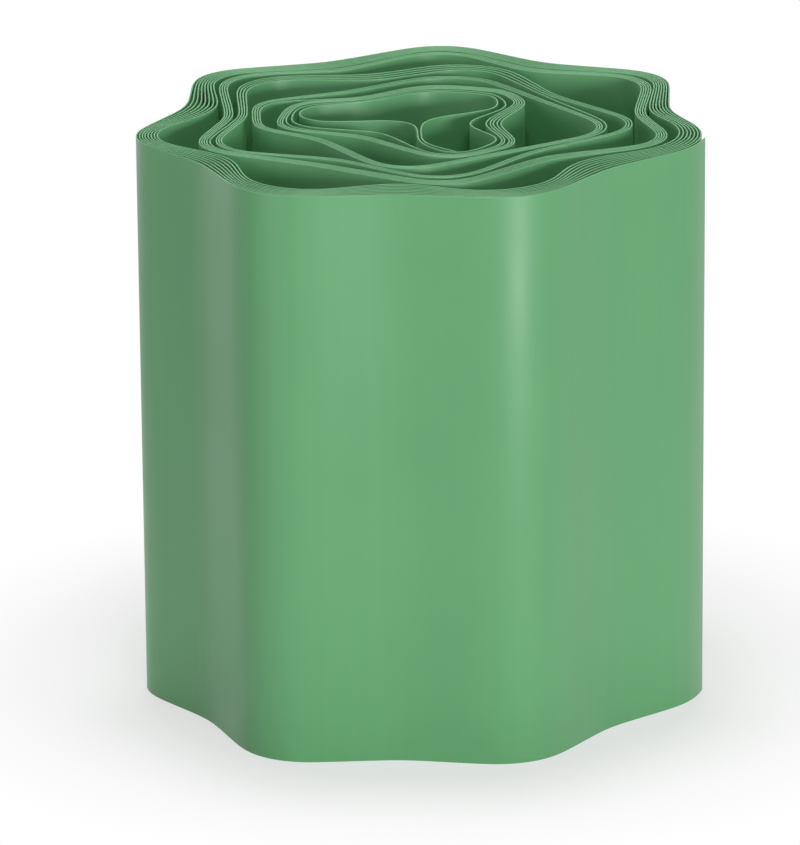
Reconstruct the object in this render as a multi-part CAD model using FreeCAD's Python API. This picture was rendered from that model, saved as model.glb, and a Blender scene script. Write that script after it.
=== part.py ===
import FreeCAD, Part
import math
import os
from collections import namedtuple

os.makedirs("parts", exist_ok=True)

# Plastic lawn edging: one long corrugated strip, wound loosely into a roll that stands on its end.
# Lengths are in millimetres. Angles are in degrees, counter-clockwise from X as seen from above.

# The strip as it is extruded
STRIP_LENGTH = 8860.0
STRIP_HEIGHT = 150.0
WALL = 0.5

# Turns that lie wave in wave keep this much air between them
AIR = 0.12
PITCH = WALL + AIR

# The pitch of the roll that the bends below describe. Another wall moves each turn outwards from there.
MEASURED_PITCH = 0.62

# The strip is long, so its bends are drawn in flats that turn by no more than this
FLAT_TURN = 11.0

# The loose heart of the roll, from the strip's inner end outwards: x, y and rounding of each bend.
# Each row lies round one more layer of strip than the row before.
HEART = [
    [(9.0, -29.3, 0), (0.35, -21.0, 12), (0.35, 1.5, 8), (20.5, 11.5, 6), (20.5, 25.5, 8), (2.0, 30.0, 12),
     (-15.0, 18.2, 9), (-30.5, 16.0, 8), (-33.0, -1.0, 8)],
    [(-0.5, 1.5, 7), (-0.5, -20.0, 12), (9.0, -35.5, 6), (21.5, -18.0, 6), (10.5, -2.5, 7), (23.3, 13.0, 6),
     (20.5, 27.5, 8), (2.0, 31.5, 12), (-15.0, 19.1, 9), (-31.5, 17.1, 9), (-34.2, -4.0, 8)],
    [(-9.5, -10.5, 10), (2.2, -31.5, 7), (10.5, -32.9, 6)],
]

# Further out the turns lie in nests, and each nest has one wave more to the turn than the nest inside it.
# A bend is a crest or a hollow of the wave: its angle, its reach from the middle and its rounding, all in the
# nest's first turn, and the looseness of the turns there, which is 1 where they lie at the closest pitch.
Bend = namedtuple("Bend", "angle reach rounding looseness")
Nest = namedtuple("Nest", "first last bends")

THREE_WAVES = Nest(300, 1952, [
    Bend(281, 37.0, 9, 1.0), Bend(316, 32.0, 8, 1.0), Bend(352, 15.8, 8, 1.5), Bend(34, 31.0, 9, 1.0),
    Bend(53.4, 35.2, 9, 1.0), Bend(85, 33.2, 12, 1.4), Bend(125, 25.0, 10, 1.0), Bend(150, 36.4, 9, 1.0),
    Bend(188, 35.8, 8, 1.0), Bend(222, 19.0, 12, 1.2),
])
FOUR_WAVES = Nest(150, 1450, [
    Bend(349, 51.0, 12, 1.1), Bend(33, 36.2, 14, 1.0), Bend(77, 48.2, 14, 2.0), Bend(121, 33.0, 16, 1.4),
    Bend(156, 45.6, 9, 1.0), Bend(187, 41.0, 9, 1.0), Bend(213, 29.3, 14, 1.1), Bend(263, 48.0, 11, 1.2),
    Bend(311, 36.5, 14, 1.0),
])
FIVE_WAVES = Nest(10, 1265, [
    Bend(354.5, 58.4, 12, 1.0), Bend(35, 40.2, 18, 1.5), Bend(74, 57.5, 12, 3.2), Bend(105, 41.5, 18, 3.0),
    Bend(137, 62.5, 12, 1.4), Bend(173, 44.3, 18, 1.0), Bend(205, 59.3, 12, 1.0), Bend(240, 40.1, 18, 1.3),
    Bend(277, 57.8, 12, 1.3), Bend(312, 40.2, 18, 1.2),
])
SIX_WAVES = Nest(185, 1880, [
    Bend(341, 67.3, 12, 1.0), Bend(5, 55.0, 20, 1.0), Bend(35, 72.4, 12, 1.0), Bend(59, 55.2, 20, 1.1),
    Bend(85, 71.8, 12, 1.0), Bend(112, 53.2, 20, 1.2), Bend(138, 68.8, 12, 1.0), Bend(174, 47.3, 20, 1.1),
    Bend(203, 61.5, 12, 0.9), Bend(237, 46.8, 20, 1.2), Bend(277, 60.5, 12, 1.4), Bend(313, 46.3, 20, 1.3),
])
SEVEN_WAVES = Nest(85, math.inf, [
    Bend(7, 58.6, 18, 1.4), Bend(35, 76.2, 12, 0.8), Bend(60, 59.5, 18, 1.4), Bend(85, 75.7, 12, 0.8),
    Bend(112, 57.8, 18, 1.4), Bend(139, 73.3, 12, 0.75), Bend(166, 52.8, 18, 1.9), Bend(190.5, 74.0, 13, 0.45),
    Bend(215.5, 57.4, 18, 2.0), Bend(239.5, 80.2, 18, 0.3), Bend(265, 57.2, 18, 2.3), Bend(291, 78.2, 19, 0.2),
    Bend(315, 54.0, 18, 2.35), Bend(345, 77.6, 21, 0.45),
])
NESTS = [THREE_WAVES, FOUR_WAVES, FIVE_WAVES, SIX_WAVES, SEVEN_WAVES]


def polar(angle, reach):
    """The point at an angle in degrees and a distance from the middle of the roll."""
    return FreeCAD.Vector(reach * math.cos(math.radians(angle)), reach * math.sin(math.radians(angle)), 0)


def turned(vector, angle):
    return FreeCAD.Vector(vector.x * math.cos(angle) - vector.y * math.sin(angle),
                          vector.x * math.sin(angle) + vector.y * math.cos(angle), 0)


def right_of(along):
    """The direction to the right of the strip's run, which is the outer side of the roll."""
    return FreeCAD.Vector(along.y, -along.x, 0)


def direction(start, end):
    return (end - start).normalize()


def growth(before, here, after):
    """How a bend moves for each millimetre that its two flanks move outwards."""
    flank = right_of(direction(before, here))
    mitre = (flank + right_of(direction(here, after))).normalize()
    return mitre * (1.0 / mitre.dot(flank))


def heart_corners(first_nest):
    """The corners of the heart, as place and rounding."""
    rows = [(layers, FreeCAD.Vector(x, y, 0), rounding)
            for layers, row in enumerate(HEART) for x, y, rounding in row]
    places = [place for layers, place, rounding in rows] + [first_nest]
    yield places[0], 0
    for i, (layers, place, rounding) in enumerate(rows[1:], 1):
        outwards = layers * (PITCH - MEASURED_PITCH)
        yield place + growth(places[i - 1], place, places[i + 1]) * outwards, rounding


def nest_corners(nest, layers):
    """The corners of a nest, turn after turn. As many layers of strip as given lie inside its first turn."""
    places = [polar(bend.angle, bend.reach) for bend in nest.bends]
    growths = [growth(places[i - 1], places[i], places[(i + 1) % len(places)]) for i in range(len(places))]
    around = sorted(zip(nest.bends, places, growths), key=lambda item: (item[0].angle - nest.first) % 360)
    turn = 0
    while True:
        for bend, place, grow in around:
            wound = (bend.angle - nest.first) % 360 + 360 * turn
            if nest.first + wound > nest.last:
                return
            spread = wound / 360 * PITCH * bend.looseness
            outwards = spread + layers * (PITCH - MEASURED_PITCH)
            yield place + grow * outwards, bend.rounding + spread
        turn += 1


def corners():
    """Every corner from the strip's inner end outwards. The outermost nest has no last turn."""
    layers = len(HEART) - 1
    start = next(nest_corners(NESTS[0], layers))[0]
    yield from heart_corners(start)
    for nest in NESTS:
        yield from nest_corners(nest, layers)
        layers += (nest.last - nest.first) / 360


def bend_points(before, here, after, rounding):
    """The points where the flats of one bend meet. Each flat touches the bend's true arc."""
    along = direction(before, here)
    away = direction(here, after)
    turning = math.atan2(along.cross(away).z, along.dot(away))
    flats = math.ceil(abs(turning) / math.radians(FLAT_TURN))
    step = abs(turning) / flats
    start = here - along * (rounding * math.tan(abs(turning) / 2))
    centre = start - right_of(along) * math.copysign(rounding, turning)
    spoke = start - centre
    for i in range(flats):
        angle = math.copysign((i + 0.5) * step, turning)
        yield centre + turned(spoke, angle) * (1 / math.cos(step / 2))


def middle_line():
    """The points of the strip's middle line, until the strip is used up."""
    ahead = corners()
    before, _ = next(ahead)
    here, rounding = next(ahead)
    last = before
    left = STRIP_LENGTH
    yield last
    for after, next_rounding in ahead:
        for point in bend_points(before, here, after, rounding):
            if last.distanceToPoint(point) >= left:
                yield last + direction(last, point) * left
                return
            left -= last.distanceToPoint(point)
            last = point
            yield point
        before, here, rounding = here, after, next_rounding


def beside(line, offset):
    """The line moved to its right by an offset, with the corners mitred."""
    yield line[0] + right_of(direction(line[0], line[1])) * offset
    for before, here, after in zip(line, line[1:], line[2:]):
        yield here + growth(before, here, after) * offset
    yield line[-1] + right_of(direction(line[-2], line[-1])) * offset


def edging_strip():
    line = list(middle_line())
    outer = list(beside(line, WALL / 2))
    inner = list(beside(line, -WALL / 2))
    outline = outer + inner[::-1] + outer[:1]
    strip = Part.Face(Part.makePolygon(outline)).extrude(FreeCAD.Vector(0, 0, STRIP_HEIGHT))
    box = strip.BoundBox
    return strip.translated(FreeCAD.Vector(-box.Center.x, -box.Center.y, 0))


edging_strip().exportStep("parts/edging_strip.step")
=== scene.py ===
import math

import bmesh
import bpy
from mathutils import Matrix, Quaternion, Vector


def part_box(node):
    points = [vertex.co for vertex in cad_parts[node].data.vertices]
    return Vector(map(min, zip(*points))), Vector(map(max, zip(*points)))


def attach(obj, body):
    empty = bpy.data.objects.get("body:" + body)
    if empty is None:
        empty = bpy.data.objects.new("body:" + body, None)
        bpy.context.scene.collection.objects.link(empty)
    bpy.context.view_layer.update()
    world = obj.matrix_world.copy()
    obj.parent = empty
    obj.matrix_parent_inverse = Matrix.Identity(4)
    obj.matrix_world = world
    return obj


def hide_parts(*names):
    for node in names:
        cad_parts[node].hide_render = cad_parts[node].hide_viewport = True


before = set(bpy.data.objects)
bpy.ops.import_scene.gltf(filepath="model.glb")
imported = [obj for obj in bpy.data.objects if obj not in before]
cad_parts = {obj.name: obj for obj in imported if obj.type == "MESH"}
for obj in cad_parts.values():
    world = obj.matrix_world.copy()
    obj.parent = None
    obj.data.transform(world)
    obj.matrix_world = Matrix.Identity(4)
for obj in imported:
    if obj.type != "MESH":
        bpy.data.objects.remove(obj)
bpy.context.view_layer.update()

# The edging strip. One long strip of green plastic, extruded and rolled into waves while it is warm, then cut to
# length and wound up wave in wave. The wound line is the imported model's: its flats and straight flanks are eased into
# round waves here, and the strip gets its wall and its cut edges again.

# The wall is drawn a tenth of a millimetre thinner than the real one, so that the closest turns read apart.
STRIP_WALL = 0.0004
EDGE_ROUNDING = 0.00014

# The line's points lie no further apart than the step. The easing is how far along the line a bend is spread.
LINE_STEP = 0.0015
WAVE_EASING = 0.004

SAME_POINT = 1e-6
FLAT_WITHIN = math.radians(1)
SQUARE_WITHIN = math.radians(2)

strip_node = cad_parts["edging_strip"]
strip_low, strip_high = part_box("edging_strip")

packed = bmesh.new()
packed.from_mesh(strip_node.data)
bmesh.ops.remove_doubles(packed, verts=packed.verts, dist=SAME_POINT)
bmesh.ops.dissolve_limit(packed, angle_limit=FLAT_WITHIN, verts=packed.verts, edges=packed.edges)
packed.faces.ensure_lookup_table()
standing_edge = min(packed.faces, key=lambda face: (round(face.calc_center_median().z, 5), -len(face.verts)))



def is_square(corner):
    return abs(corner.calc_angle() - math.radians(90)) < SQUARE_WITHIN


# The outline of the standing edge runs along one side of the strip and back along the other. Only the strip's two
# ends have one square corner right after another, and the outline is turned to start behind the first of them.
outline = [corner.vert.co.copy() for corner in standing_edge.loops]
ends = [i for i, corner in enumerate(standing_edge.loops)
        if is_square(corner) and is_square(corner.link_loop_next)]
first = ends[0] + 1
outline = outline[first:] + outline[:first]
middle = [(there + back) / 2 for there, back in zip(outline, reversed(outline))][:len(outline) // 2]
packed.free()

strip = bmesh.new()
line = [strip.verts.new((point.x, point.y, strip_low.z)) for point in middle]
long_edges = {}
for here, there in zip(line, line[1:]):
    edge = strip.edges.new((here, there))
    long_edges.setdefault(math.ceil(edge.calc_length() / LINE_STEP) - 1, []).append(edge)
for cuts, edges in long_edges.items():
    if cuts:
        bmesh.ops.subdivide_edges(strip, edges=edges, cuts=cuts)

# Each round moves every point but the two ends half-way to the middle of its neighbours.
inner_points = [point for point in strip.verts if len(point.link_edges) == 2]
for _ in range(round(2 * (WAVE_EASING / LINE_STEP) ** 2)):
    bmesh.ops.smooth_vert(strip, verts=inner_points, factor=0.5, use_axis_x=True, use_axis_y=True)

# The eased line is drawn out again to the model's own width and depth.
for axis in (0, 1):
    low = min(point.co[axis] for point in strip.verts) - STRIP_WALL / 2
    high = max(point.co[axis] for point in strip.verts) + STRIP_WALL / 2
    stretch = (strip_high[axis] - strip_low[axis] - STRIP_WALL) / (high - low - STRIP_WALL)
    for point in strip.verts:
        point.co[axis] = (strip_low[axis] + strip_high[axis]) / 2 + (point.co[axis] - (low + high) / 2) * stretch

raised = bmesh.ops.extrude_edge_only(strip, edges=strip.edges)["geom"]
bmesh.ops.translate(strip, vec=(0, 0, strip_high.z - strip_low.z),
                    verts=[part for part in raised if isinstance(part, bmesh.types.BMVert)])
bmesh.ops.recalc_face_normals(strip, faces=strip.faces)
for face in strip.faces:
    face.smooth = True

strip_mesh = bpy.data.meshes.new("green_edging_strip")
strip.to_mesh(strip_mesh)
strip.free()
edging = bpy.data.objects.new("green_edging_strip", strip_mesh)
bpy.context.collection.objects.link(edging)

wall = edging.modifiers.new("wall", "SOLIDIFY")
wall.thickness = STRIP_WALL
wall.offset = 0
wall.use_even_offset = True
# The rims take the second material: the cut edges, paler partly by their own colour and partly by painted highlight.
wall.material_offset_rim = 1
soft_edges = edging.modifiers.new("soft_cut_edges", "BEVEL")
soft_edges.width = EDGE_ROUNDING
soft_edges.segments = 2
soft_edges.limit_method = "ANGLE"
soft_edges.angle_limit = math.radians(50)

# The plastic. Its colour and gloss vary a little along the strip, in streaks that the rollers left from edge to edge.
# A wall that is seen at a slant has a pale, dull sheen.

plastic = bpy.data.materials.new("green_plastic")
plastic.use_nodes = True
nodes = plastic.node_tree.nodes
links = plastic.node_tree.links
shader = nodes["Principled BSDF"]
shader.inputs["Specular IOR Level"].default_value = 0.4
shader.inputs["Coat Weight"].default_value = 0.4
shader.inputs["Coat Roughness"].default_value = 0.45
shader.inputs["Coat IOR"].default_value = 1.25
place = nodes.new("ShaderNodeTexCoord")
along_rollers = nodes.new("ShaderNodeMapping")
along_rollers.inputs["Scale"].default_value = (1, 1, 0.02)
streaks = nodes.new("ShaderNodeTexNoise")
streaks.inputs["Scale"].default_value = 420
streaks.inputs["Detail"].default_value = 3
clouds = nodes.new("ShaderNodeTexNoise")
clouds.inputs["Scale"].default_value = 28
clouds.inputs["Detail"].default_value = 2
links.new(place.outputs["Object"], along_rollers.inputs["Vector"])
links.new(along_rollers.outputs["Vector"], streaks.inputs["Vector"])
links.new(place.outputs["Object"], clouds.inputs["Vector"])

mottle = nodes.new("ShaderNodeMix")
mottle.data_type = "FLOAT"
mottle.inputs["Factor"].default_value = 0.5
colour = nodes.new("ShaderNodeValToRGB")
colour.color_ramp.elements[0].position = 0.35
colour.color_ramp.elements[0].color = (0.117, 0.360, 0.152, 1)
colour.color_ramp.elements[1].position = 0.65
colour.color_ramp.elements[1].color = (0.125, 0.374, 0.160, 1)
links.new(streaks.outputs["Fac"], mottle.inputs["A"])
links.new(clouds.outputs["Fac"], mottle.inputs["B"])
links.new(mottle.outputs["Result"], colour.inputs["Fac"])
links.new(colour.outputs["Color"], shader.inputs["Base Color"])

gloss = nodes.new("ShaderNodeMapRange")
gloss.inputs["From Min"].default_value = 0.3
gloss.inputs["From Max"].default_value = 0.7
gloss.inputs["To Min"].default_value = 0.40
gloss.inputs["To Max"].default_value = 0.50
links.new(clouds.outputs["Fac"], gloss.inputs["Value"])
links.new(gloss.outputs["Result"], shader.inputs["Roughness"])

ripple = nodes.new("ShaderNodeBump")
ripple.inputs["Strength"].default_value = 0.12
ripple.inputs["Distance"].default_value = 0.00003
links.new(streaks.outputs["Fac"], ripple.inputs["Height"])
links.new(ripple.outputs["Normal"], shader.inputs["Normal"])

# The cut edges. They are paler and duller than the rolled faces. Part of the paleness is the cut plastic's own colour
# and part is painted highlight, standing in for the light from above that the edges catch.

cut_plastic_painted_highlight = bpy.data.materials.new("cut_green_plastic_painted_highlight")
cut_plastic_painted_highlight.use_nodes = True
nodes = cut_plastic_painted_highlight.node_tree.nodes
links = cut_plastic_painted_highlight.node_tree.links
shader = nodes["Principled BSDF"]
place = nodes.new("ShaderNodeTexCoord")
knife_marks = nodes.new("ShaderNodeTexNoise")
knife_marks.inputs["Scale"].default_value = 500
knife_marks.inputs["Detail"].default_value = 2
colour = nodes.new("ShaderNodeValToRGB")
colour.color_ramp.elements[0].position = 0.35
colour.color_ramp.elements[0].color = (0.17, 0.47, 0.22, 1)
colour.color_ramp.elements[1].position = 0.65
colour.color_ramp.elements[1].color = (0.23, 0.53, 0.28, 1)
gloss = nodes.new("ShaderNodeMapRange")
gloss.inputs["To Min"].default_value = 0.45
gloss.inputs["To Max"].default_value = 0.6
links.new(place.outputs["Object"], knife_marks.inputs["Vector"])
links.new(knife_marks.outputs["Fac"], colour.inputs["Fac"])
links.new(colour.outputs["Color"], shader.inputs["Base Color"])
links.new(knife_marks.outputs["Fac"], gloss.inputs["Value"])
links.new(gloss.outputs["Result"], shader.inputs["Roughness"])

strip_mesh.materials.append(plastic)
strip_mesh.materials.append(cut_plastic_painted_highlight)

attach(edging, "root")
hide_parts("edging_strip")

# The studio. A white paper floor that fades into a white backdrop, with soft lamps round it: a strong one at the front
# right, weak ones in front, at the left and behind the left shoulder of the roll, and one overhead.

FLOOR_SIZE = 12.0

# The paper shows its shadows out to the first distance from the roll's middle, and past the second it is plain white.
SHADED_PAPER = 0.07
PLAIN_PAPER = 0.15


def seen_or_mirrored(tree):
    """A value in a node tree that is 1 for the camera's own rays and for mirrored ones, and 0 for the light's."""
    path = tree.nodes.new("ShaderNodeLightPath")
    either = tree.nodes.new("ShaderNodeMath")
    either.operation = "MAXIMUM"
    tree.links.new(path.outputs["Is Camera Ray"], either.inputs[0])
    tree.links.new(path.outputs["Is Glossy Ray"], either.inputs[1])
    return either.outputs["Value"]


floor_mesh = bpy.data.meshes.new("studio_floor")
sheet = bmesh.new()
bmesh.ops.create_grid(sheet, x_segments=1, y_segments=1, size=FLOOR_SIZE / 2)
sheet.to_mesh(floor_mesh)
sheet.free()
floor = bpy.data.objects.new("studio_floor", floor_mesh)
bpy.context.collection.objects.link(floor)

paper = bpy.data.materials.new("white_paper")
paper.use_nodes = True
nodes = paper.node_tree.nodes
links = paper.node_tree.links
shader = nodes["Principled BSDF"]
shader.inputs["Base Color"].default_value = (0.9, 0.9, 0.9, 1)
shader.inputs["Roughness"].default_value = 0.9
place = nodes.new("ShaderNodeTexCoord")
distance = nodes.new("ShaderNodeVectorMath")
distance.operation = "LENGTH"
fading = nodes.new("ShaderNodeMapRange")
fading.interpolation_type = "SMOOTHSTEP"
fading.inputs["From Min"].default_value = SHADED_PAPER
fading.inputs["From Max"].default_value = PLAIN_PAPER
fading.inputs["To Min"].default_value = 0.6
white_share = nodes.new("ShaderNodeMath")
white_share.operation = "MULTIPLY"
plain_white = nodes.new("ShaderNodeEmission")
backdrop = nodes.new("ShaderNodeMixShader")
links.new(place.outputs["Object"], distance.inputs[0])
links.new(distance.outputs["Value"], fading.inputs["Value"])
links.new(seen_or_mirrored(paper.node_tree), white_share.inputs[0])
links.new(fading.outputs["Result"], white_share.inputs[1])
links.new(white_share.outputs["Value"], backdrop.inputs["Fac"])
links.new(shader.outputs["BSDF"], backdrop.inputs[1])
links.new(plain_white.outputs["Emission"], backdrop.inputs[2])
links.new(backdrop.outputs["Shader"], nodes["Material Output"].inputs["Surface"])
floor_mesh.materials.append(paper)

world = bpy.data.worlds.new("studio_air")
bpy.context.scene.world = world
world.use_nodes = True
nodes = world.node_tree.nodes
links = world.node_tree.links
dim_air = nodes["Background"]
dim_air.inputs["Color"].default_value = (1, 1, 1, 1)
dim_air.inputs["Strength"].default_value = 0.05
white_air = nodes.new("ShaderNodeBackground")
white_air.inputs["Color"].default_value = (1, 1, 1, 1)
air = nodes.new("ShaderNodeMixShader")
links.new(seen_or_mirrored(world.node_tree), air.inputs["Fac"])
links.new(dim_air.outputs["Background"], air.inputs[1])
links.new(white_air.outputs["Background"], air.inputs[2])
links.new(air.outputs["Shader"], nodes["World Output"].inputs["Surface"])


def softbox(name, azimuth, elevation, reach, width, height, power):
    """A lamp at angles in degrees and a distance from the roll's middle, which it faces."""
    lamp = bpy.data.lights.new(name, "AREA")
    lamp.shape = "RECTANGLE"
    lamp.size = width
    lamp.size_y = height
    lamp.energy = power
    stand = bpy.data.objects.new(name, lamp)
    level = reach * math.cos(math.radians(elevation))
    target = Vector((0, 0, (strip_low.z + strip_high.z) / 2))
    stand.location = target + Vector((
        level * math.cos(math.radians(azimuth)),
        level * math.sin(math.radians(azimuth)),
        reach * math.sin(math.radians(elevation)),
    ))
    stand.rotation_euler = (target - stand.location).to_track_quat("-Z", "Y").to_euler()
    bpy.context.collection.objects.link(stand)


softbox("front_right_softbox", 300, 6, 4.0, 1.3, 0.7, 85)
softbox("front_softbox", 280, 38, 2.0, 0.4, 0.4, 6)
softbox("left_softbox", 225, 12, 2.0, 0.9, 0.8, 4)
softbox("back_left_softbox", 138, 10, 2.0, 0.35, 0.8, 3)
softbox("overhead_softbox", 90, 82, 1.6, 0.35, 0.35, 12)

# The camera. It stands well away from the roll and looks down on it from the front, with a long lens. It leans by
# half a degree.

PHOTO_HEIGHT_PX = 845
FOCAL_LENGTH_PX = 6887
SENSOR = 36.0
LEAN = math.radians(-0.48)

lens = bpy.data.cameras.new("camera")
lens.sensor_fit = "VERTICAL"
lens.sensor_height = SENSOR
lens.lens = FOCAL_LENGTH_PX * SENSOR / PHOTO_HEIGHT_PX
lens.clip_end = 20
camera = bpy.data.objects.new("camera", lens)
camera.location = (0.0, -1.7177, 0.6186)
looking = (Vector((-0.0058, -0.0037, 0.0689)) - camera.location).to_track_quat("-Z", "Y")
camera.rotation_euler = (looking @ Quaternion((0, 0, 1), LEAN)).to_euler()
bpy.context.collection.objects.link(camera)
bpy.context.scene.camera = camera

bpy.context.scene.view_settings.view_transform = "Standard"
